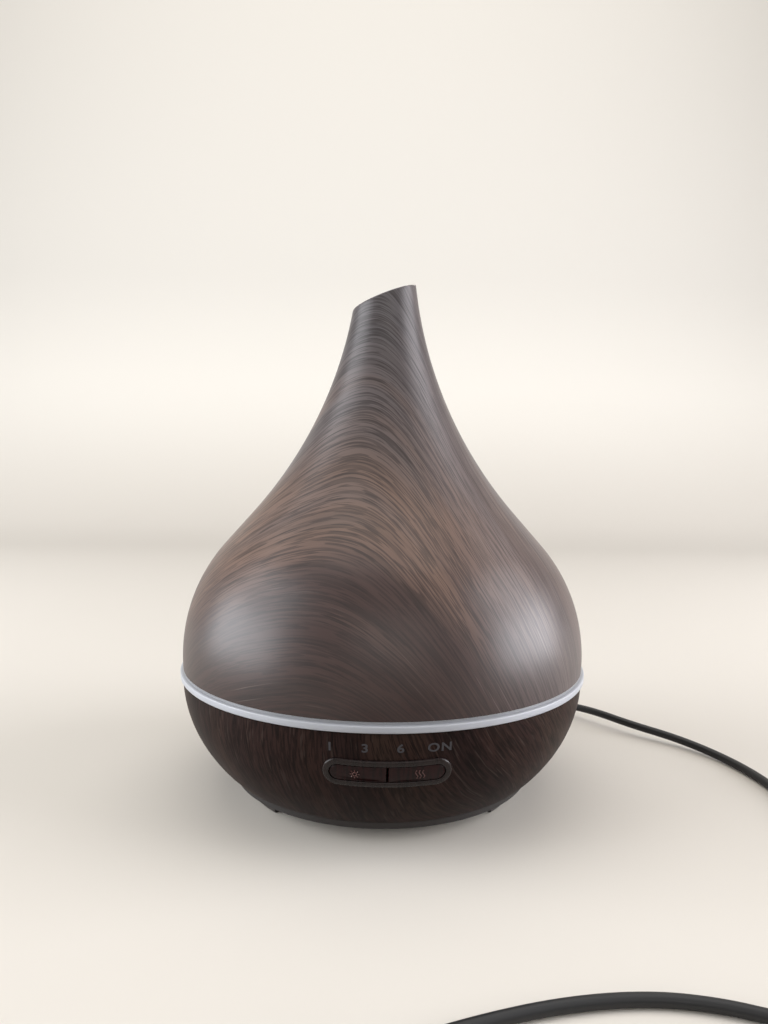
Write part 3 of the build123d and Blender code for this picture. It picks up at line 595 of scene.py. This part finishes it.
def prism(length, width, low, high):
    """A stadium-shaped plug square to the bowl's face at the buttons."""
    bm = bmesh.new()
    tall = bmesh.ops.extrude_face_region(bm, geom=[stadium(bm, length, width)])
    bmesh.ops.translate(bm, vec=(0, 0, high - low), verts=only(BMVert, tall["geom"]))
    bmesh.ops.translate(bm, vec=(0, 0, low), verts=bm.verts)
    bmesh.ops.recalc_face_normals(bm, faces=bm.faces)
    bmesh.ops.transform(bm, matrix=button_frame, verts=bm.verts)
    return add_mesh(bm, "plug")


slot_play = 0.1 * mm
cut_away(shell, prism(slot_size[0] + slot_play, slot_size[1] + slot_play, -14 * mm, 6 * mm))

notch_width = 15.6 * mm
notch_top = 17.8 * mm
notch_run = 60 * mm
notch_middle = 75 * mm
notch = bmesh.new()
bmesh.ops.create_cube(notch, size=1)
bmesh.ops.scale(notch, vec=(notch_width, notch_run, 2 * notch_top), verts=notch.verts)
bmesh.ops.translate(notch, vec=(0, notch_middle, 0), verts=notch.verts)
cut_away(shell, add_mesh(notch, "notch"))
put(shell, "base", "wood_shell", shaded_base_wood, "base_shell")

# ---------------------------------------------------------------- buttons
# A bezel clips into the slot, a raised rim with rounded edges.  Two caps fill it, light at the left
# and mist at the right, in the same printed brown under a glossier lacquer, each with a raised sign.
rim_width = 2.2 * mm
rim_proud = 0.9 * mm
rim_depth = 2.6 * mm
rim_round = 0.6 * mm
cap_proud = 0.7 * mm
cap_thick = 2.4 * mm
cap_round = 0.5 * mm
cap_gap = 0.15 * mm
cap_split = 0.5 * mm
sign_size = 1.6 * mm            # from a sign's middle to its end
sign_line = 0.32 * mm


def onto_bowl(bm):
    """Lays a flat shape on the base at the buttons: X along the slot, Y up it, Z out of the face."""
    out = button_frame.to_3x3() @ Vector((0, 0, 1))
    squeeze = Matrix.Diagonal((1 / bowl_radius, 1 / bowl_radius, 1 / bowl_depth))
    centre = Vector((0, 0, base_high.z))
    run = squeeze @ out
    for v in bm.verts:
        at = button_frame @ Vector((v.co.x, v.co.y, 0))
        start = squeeze @ (at - centre)
        along = start.dot(run)
        root = math.sqrt(along ** 2 - run.dot(run) * (start.dot(start) - 1))
        reach = (root - along) / run.dot(run)   # from here out to the bowl's face
        v.co = at + (reach + v.co.z) * out
    return bm


def raise_face(bm, face, height):
    """Extrudes a face straight out and returns its new end."""
    made = bmesh.ops.extrude_face_region(bm, geom=[face])["geom"]
    bmesh.ops.translate(bm, vec=(0, 0, height), verts=only(BMVert, made))
    return only(BMFace, made)[0]


def round_top(bm, level, width):
    """Rounds the sharp edges at this height."""
    edges = [e for e in bm.edges if all(abs(v.co.z - level) < 0.01 * mm for v in e.verts)
             and e.is_manifold and e.calc_face_angle() > math.radians(60)]
    bmesh.ops.bevel(bm, geom=edges, offset=width, segments=4, profile=0.5, affect="EDGES", material=-1)


bezel = bmesh.new()
back = stadium(bezel, *slot_size)
bmesh.ops.translate(bezel, vec=(0, 0, -rim_depth), verts=bezel.verts)
top = raise_face(bezel, back, rim_depth + rim_proud)
bmesh.ops.inset_region(bezel, faces=[top], thickness=rim_width, use_even_offset=True)
inner = list(top.edges)
bmesh.ops.delete(bezel, geom=[top, back], context="FACES_ONLY")
outer = [e for e in bezel.edges if e.is_boundary and e not in inner]
deep = bmesh.ops.extrude_edge_only(bezel, edges=inner)["geom"]
bmesh.ops.translate(bezel, vec=(0, 0, -rim_depth - rim_proud), verts=only(BMVert, deep))
bmesh.ops.bridge_loops(bezel, edges=outer + only(BMEdge, deep))
bmesh.ops.recalc_face_normals(bezel, faces=bezel.faces)
round_top(bezel, rim_proud, rim_round)


def gloss_film(name, ground, ink, gloss, shine):
    """The base's film on the small mouldings, under more lacquer and with the grain upright."""
    film = Finish(name)
    spot, x, y, z = film.place()
    grain = film.node("ShaderNodeCombineXYZ", sockets={0: x * 6, 1: y, 2: z * 0.6})
    fine = film.noise(grain, 160, 1, 0.6)
    colour = film.blend(film.ease(fine, 0.42, 0.62) * 0.75, ground, ink)
    film.surface(Base_Color=colour, Roughness=gloss + 0.1 * (film.noise(spot, 90, 2) - 0.5),
                 Specular_IOR_Level=shine, Normal=film.bump(fine, 0.04 * mm, 0.4))
    return film


# Painted shade: the bezel and caps are darkened like the base's film; the caps' red-brown tint is their
# own.
rim_brown = gloss_film("bezel_film", srgb(36, 26, 25), srgb(20, 14, 14), 0.26, 0.25)
cap_brown = gloss_film("button_film", srgb(40, 18, 18), srgb(14, 7, 7), 0.34, 0.16)
# Painted highlight: the raised signs are a lighter brown than their caps, as if their edges caught the
# light.
sign_highlight_brown = gloss_film("sign_highlight_film", srgb(104, 70, 66), srgb(80, 52, 50), 0.28, 0.35)
put(add_mesh(onto_bowl(bezel), "slot_bezel"), "base", "wood_trim", rim_brown, "button_bezel")


def shown_as_mesh(data):
    """The mesh that a curve or a text shows, as a bmesh."""
    holder = bpy.data.objects.new("holder", data)
    bpy.context.scene.collection.objects.link(holder)
    mesh = finished_mesh(holder)
    bpy.data.objects.remove(holder)
    bm = bmesh.new()
    bm.from_mesh(mesh)
    bmesh.ops.remove_doubles(bm, verts=bm.verts, dist=0.002 * mm)
    return bm


def raised_lines(lines, thick):
    """Round-topped lines; each is a list of points and whether it closes."""
    drawn = bpy.data.curves.new("lines", "CURVE")
    drawn.dimensions = "3D"
    drawn.bevel_depth = thick / 2
    drawn.bevel_resolution = 3
    drawn.use_fill_caps = True
    for points, closed in lines:
        spline = drawn.splines.new("POLY")
        spline.points.add(len(points) - 1)
        for point, place in zip(spline.points, points):
            point.co = (*place, 0, 1)
        spline.use_cyclic_u = closed
    return shown_as_mesh(drawn)


def sun(size):
    """A ring with eight rays."""
    lines = [(list(arc((0, 0), 0.42 * size, 0, 345, 23)), True)]
    for i in range(8):
        turn = Vector((math.cos(math.tau * i / 8), math.sin(math.tau * i / 8)))
        lines.append(([turn * 0.66 * size, turn * size], False))
    return lines


def waves(size):
    """Three rising curls of mist."""
    return [([(side * 0.72 * size + 0.22 * size * math.sin(math.tau * k / 20), size * (k / 10 - 1))
              for k in range(21)], False) for side in (-1, 0, 1)]


cap_length = slot_size[0] - 2 * (rim_width + cap_gap)
cap_width = slot_size[1] - 2 * (rim_width + cap_gap)
for word, side, sign in (("light", -1, sun), ("mist", 1, waves)):
    cap = bmesh.new()
    stadium(cap, cap_length, cap_width)
    bmesh.ops.bisect_plane(cap, geom=cap.verts[:] + cap.edges[:] + cap.faces[:], clear_inner=True,
                           plane_co=(side * cap_split / 2, 0, 0), plane_no=(side, 0, 0))
    bmesh.ops.translate(cap, vec=(0, 0, cap_proud - cap_thick), verts=cap.verts)
    raise_face(cap, cap.faces[:][0], cap_thick)
    bmesh.ops.recalc_face_normals(cap, faces=cap.faces)
    round_top(cap, cap_proud, cap_round)
    put(add_mesh(onto_bowl(cap), word + "_cap"), word + "_key", "wood_trim", cap_brown, word + "_button")
    mark = raised_lines(sign(sign_size), sign_line)
    bmesh.ops.translate(mark, vec=(side * slot_size[0] / 4, 0, cap_proud), verts=mark.verts)
    put(add_mesh(onto_bowl(mark), word + "_sign"), word + "_key", "wood_trim", sign_highlight_brown)

# ---------------------------------------------------------------- timer marks
# Pad-printed marks above the buttons, in a dull blue-grey ink.  A lamp behind the wall lights each
# one: one, three or six hours, or on until the tank runs dry.
mark_level = 42.5 * mm
mark_height = 2.9 * mm
font_size = 1.4 * mark_height   # a font's capitals are about 0.7 of its size
mark_spread = 1.25              # how much wider than the font's the letters are
mark_ink = plastic("mark_ink", srgb(58, 56, 61), 0.5)
for word, azimuth in (("1", -13.3), ("3", -5.2), ("6", 2.9), ("ON", 12.0)):
    letters = bpy.data.curves.new("letters", "FONT")
    letters.body = word
    letters.align_x = "CENTER"
    letters.align_y = "CENTER"
    letters.size = font_size
    letters.extrude = 0.04 * mm
    letters.offset = 0.09 * mm
    letters.space_character = 1.15
    printed = shown_as_mesh(letters)
    for v in printed.verts:
        turn = math.radians(azimuth) + mark_spread * v.co.x / bowl_radius
        height = mark_level + v.co.y
        out = bowl_at(height, 0.03 * mm + v.co.z)
        v.co = (out * math.sin(turn), -out * math.cos(turn), height)
    put(add_mesh(printed, "timer_mark_" + word.lower()), "base", "dark_plastic", mark_ink)

# ---------------------------------------------------------------- tank and what closes it
# The tank is one clear-frosted moulding with the air duct, the disc's socket and the screw posts.  A
# cap on four legs shades the duct from drips, and a white inner lid with a chimney catches splashes.
nodes = frame["nodes"]


def dress(finish, *names):
    """Gives CAD pieces their finish."""
    for name in names:
        nodes[name].data.materials.clear()
        nodes[name].data.materials.append(finish.material)


def milky(name, tint, roughness, depth, **more):
    """Translucent plastic with faint clouds from the moulding."""
    finish = Finish(name)
    spot, x, y, z = finish.place()
    cloud = finish.noise(spot, 60, 3)
    tint = finish.blend(cloud * 0.25, tint, dimmed(tint, 0.8))
    return translucent(finish, tint, cloud, roughness, depth, **more)


dress(milky("frosted_tank", srgb(214, 218, 220), 0.34, 3 * mm, Transmission_Weight=0.35), "water_tank")
dress(milky("white_lid", srgb(228, 227, 222), 0.38, 2 * mm), "splash_lid", "duct_cap")

# ---------------------------------------------------------------- ultrasonic disc
# A plated ceramic disc in a silicone seal, clamped under the tank floor by a plastic ring and three
# small screws.


def metal(name, tint, roughness, scale=(300, 300, 300)):
    """Metal with fine machining marks and a little tarnish."""
    finish = Finish(name)
    spot, x, y, z = finish.place()
    stretched = finish.node("ShaderNodeCombineXYZ",
                            sockets={0: x * scale[0], 1: y * scale[1], 2: z * scale[2]})
    lines = finish.noise(stretched, 6, 2)
    tarnish = finish.noise(spot, 55, 3)
    colour = finish.blend(finish.ease(tarnish, 0.45, 0.75) * 0.5, tint, dimmed(tint, 0.6))
    finish.surface(Base_Color=colour, Metallic=1.0, Roughness=roughness + 0.12 * (lines - 0.4),
                   Normal=finish.bump(lines, 0.02 * mm, 0.4))
    return finish


dress(metal("plated_disc", srgb(196, 190, 176), 0.26), "ultrasonic_disc")
dress(plastic("silicone_seal", srgb(160, 158, 152), 0.55), "disc_seal")
black_plastic = plastic("black_plastic", srgb(26, 26, 28), 0.42, 900, 0.03)
dress(black_plastic, "disc_clamp")
zinc = metal("zinc_screw", srgb(150, 150, 152), 0.36)
dress(zinc, "clamp_screws")

# ---------------------------------------------------------------- fan
# A small square fan in black glass-filled plastic, screwed to the bottom cover under the duct.  Its
# wound motor sits in the middle, and a foam ring seals it to the duct's skirt.
dress(black_plastic, "fan_frame", "fan_impeller")
dress(zinc, "fan_screws")


def winding(name, tint, turns):
    """Enamelled copper wire, wound in level turns this many to the metre, with painted shade in the
    grooves between turns.
    """
    finish = Finish(name)
    spot, x, y, z = finish.place()
    coil = (z * (math.tau * turns)).of("SINE")
    # Painted shade: the colour darkens to about a third in the grooves between the turns.
    colour = finish.blend(finish.ease(coil, -1.0, 0.2), dimmed(tint, 0.35), tint)
    finish.surface(Base_Color=colour, Metallic=0.8, Roughness=0.32,
                   Normal=finish.bump(coil, 0.2 * mm, 0.8))
    return finish


copper = winding("copper_winding", srgb(176, 96, 52), 2600)
dress(copper, "fan_motor", "inductor")
dress(plastic("seal_foam", srgb(52, 52, 54), 0.9, 1400, 0.3), "fan_gasket")

# ---------------------------------------------------------------- boards and lamps
# Glass-fibre boards with etched tracks under green or white lacquer.  The main board drives the disc,
# and the lamp board's seven lamps shine up through the tank into the light ring.


def circuit(name, lacquer_tint, track_tint, pitch):
    """A board whose tracks show as paler bands under the lacquer, with a few bare tinned pads."""
    finish = Finish(name)
    spot, x, y, z = finish.place()
    cell = finish.node("ShaderNodeTexVoronoi", {"feature": "F1", "distance": "CHEBYCHEV"},
                       {"Vector": spot, "Scale": 1 / pitch})
    lane = finish.node("ShaderNodeTexVoronoi", {"feature": "DISTANCE_TO_EDGE"},
                       {"Vector": spot, "Scale": 0.6 / pitch})
    track = finish.ease(lane, 0.14, 0.11)
    pad = finish.ease(cell, 0.13, 0.10)
    colour = finish.blend(track, lacquer_tint, track_tint)
    finish.surface(Base_Color=finish.blend(pad, colour, srgb(186, 184, 176)), Metallic=pad * 0.9,
                   Roughness=0.34 + 0.1 * pad, Normal=finish.bump(track + pad, 0.04 * mm, 0.6))
    return finish


green_board = circuit("green_board", srgb(20, 74, 44), srgb(34, 104, 60), 3.2 * mm)
dress(green_board, "main_board", "key_board", "adapter_board")
dress(circuit("white_board", srgb(224, 224, 218), srgb(206, 206, 198), 4 * mm), "lamp_board")
dress(plastic("capacitor_sleeve", srgb(24, 30, 52), 0.3), "capacitors")
dress(metal("sink_aluminium", srgb(182, 184, 188), 0.4, (40, 40, 400)), "heat_sink")
dress(plastic("chip_epoxy", srgb(22, 22, 23), 0.6), "control_chips", "driver_transistor")
dress(plastic("connector_nylon", srgb(226, 222, 208), 0.45), "wire_connectors")
dress(milky("lamp_lens", srgb(238, 232, 196), 0.2, 1 * mm), "ring_lamps", "indicator_lamps")
dress(black_plastic, "key_switches")
dress(plastic("switch_plunger", srgb(40, 40, 42), 0.35), "light_plunger", "mist_plunger")
dress(zinc, "board_screws")

# ---------------------------------------------------------------- bottom cover and feet
# The bottom cover is black plastic with a spark-eroded texture, an air grille under the fan and a
# tunnel for the plug.  Screws hold it to the tank's posts, and three dark rubber pads are glued to it.
dress(plastic("bottom_plastic", srgb(36, 31, 30), 0.52, 1500, 0.05), "bottom_cover")
dress(zinc, "case_screws")
pad_rubber = plastic("pad_rubber", srgb(44, 38, 37), 0.30, 500, 0.02)
pad_rubber.surface(Coat_Weight=0.4, Coat_Roughness=0.25)
dress(pad_rubber, "foot_front_left", "foot_front_right", "foot_rear")

# ---------------------------------------------------------------- socket and plug
# The socket is soldered behind the tunnel's wall.  The plug's nickel sleeve slides on to its pin, and
# its body and ribbed relief are moulded on to the lead in one soft black rubber.
nickel_tint = srgb(206, 202, 192)
dress(black_plastic, "dc_socket")
dress(metal("nickel_plate", nickel_tint, 0.22), "socket_pin", "plug_sleeve")
soft_black = plastic("lead_rubber", srgb(25, 25, 27), 0.46, 1200, 0.03)
dress(soft_black, "plug_body", "plug_strain_relief", "adapter_strain_relief")

# ---------------------------------------------------------------- lead
# A round black lead, moulded on to its plug and its adapter.  It leaves the plug straight, drops to
# the table, runs round the right side to the front, and is put away in a tied coil.
cord_diameter = 3.6 * mm
lead_route = [
    (0, 83.2, 11), (0, 92.5, 11), (3.6, 101.5, 8.8), (11.5, 109.5, 5.4), (24, 113.5, 2.8),
    (40, 112, 1.9), (57, 107, 1.9), (72, 99, 2.2), (87, 88, 3.4), (101, 75, 5.0), (112, 61, 6.2),
    (125, 44, 5.4), (142, 31, 3.6), (154, 15, 2.1), (161, -6, 1.9), (163, -31, 1.9), (160, -58, 1.9),
    (154, -84, 1.9), (146, -109, 1.9), (136, -133, 1.9), (124, -150, 1.9), (109, -156, 1.9),
    (95, -151, 1.9), (81, -145.5, 1.9), (64, -143, 1.9), (43, -145, 1.9), (22, -150.5, 1.9),
    (2, -158, 2.0),
]
tail_route = [(-10, -211.2, 5.6), (1, -212.9, 6.6), (15, -220, 8), (28, -220, 8)]
coil_centre = (-20, -188)
coil_lift = 0.5
coil_start = 80                 # degrees from +X
turn_gap = 3.6                  # from one turn to the next, in mm
turn_points = 16


def coil_turns():
    """Seven turns, four on the table from the outside in and three on top of them, back out."""
    low = [25.2, 21.6, 18.0, 14.4]
    high = [16.2, 19.8, 23.4]
    base = coil_lift + turn_gap / 2
    raised = base + turn_gap * math.sin(math.radians(60))
    rings = [(r, base) for r in low] + [(r, raised) for r in high]
    last = (len(rings) - 0.5) * turn_points
    for i in range(2, int(last) + 1):
        turn = i / turn_points
        here = min(int(turn), len(rings) - 1)
        after = min(here + 1, len(rings) - 1)
        blend = max(0.0, (turn - here - 0.6) / 0.4)    # the end of each turn leads over to the next
        blend = blend * blend * (3 - 2 * blend)
        radius = rings[here][0] + (rings[after][0] - rings[here][0]) * blend
        height = rings[here][1] + (rings[after][1] - rings[here][1]) * blend
        a = math.radians(coil_start) + math.tau * turn
        yield coil_centre[0] + radius * math.cos(a), coil_centre[1] + radius * math.sin(a), height


route = lead_route + list(coil_turns()) + tail_route
line = bpy.data.curves.new("lead", "CURVE")
line.dimensions = "3D"
line.bevel_depth = cord_diameter / 2
line.bevel_resolution = 5
line.resolution_u = 8
line.use_fill_caps = True
spline = line.splines.new("NURBS")
spline.points.add(len(route) - 1)
for point, place in zip(spline.points, route):
    point.co = (*(c * mm for c in place), 1)
spline.order_u = 3
spline.use_endpoint_u = True
lead = bpy.data.objects.new("power_lead", line)
bpy.context.scene.collection.objects.link(lead)
put(lead, "supply", "cord_rubber", soft_black, "power_cord", "cord_coil", "cord_tail")
dress(plastic("tie_plastic", srgb(20, 20, 21), 0.35), "cord_tie")

# ---------------------------------------------------------------- mains adapter
# Two black textured halves, welded edge to edge.  Its two round pins are brass, nickel-plated, in
# black sleeves up to half their length.
case_black = plastic("adapter_plastic", srgb(30, 30, 32), 0.5, 1500, 0.06)
dress(case_black, "adapter_back", "adapter_front")
bare_length = 9 * mm
sleeve_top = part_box("adapter_pins")[1].z - bare_length


def pin_finish():
    """Nickel plate on the bare ends and black plastic on the sleeves."""
    finish = Finish("adapter_pin_metal")
    spot, x, y, z = finish.place()
    bare = finish.ease(z, sleeve_top - 0.2 * mm, sleeve_top)
    skin = finish.noise(spot, 1800, 2)
    finish.surface(Base_Color=finish.blend(bare, srgb(22, 22, 23), nickel_tint), Metallic=bare,
                   Roughness=0.5 - 0.26 * bare, Normal=finish.bump(skin, 0.02 * mm, 0.4))
    return finish


dress(pin_finish(), "adapter_pins")
dress(copper, "adapter_transformer")
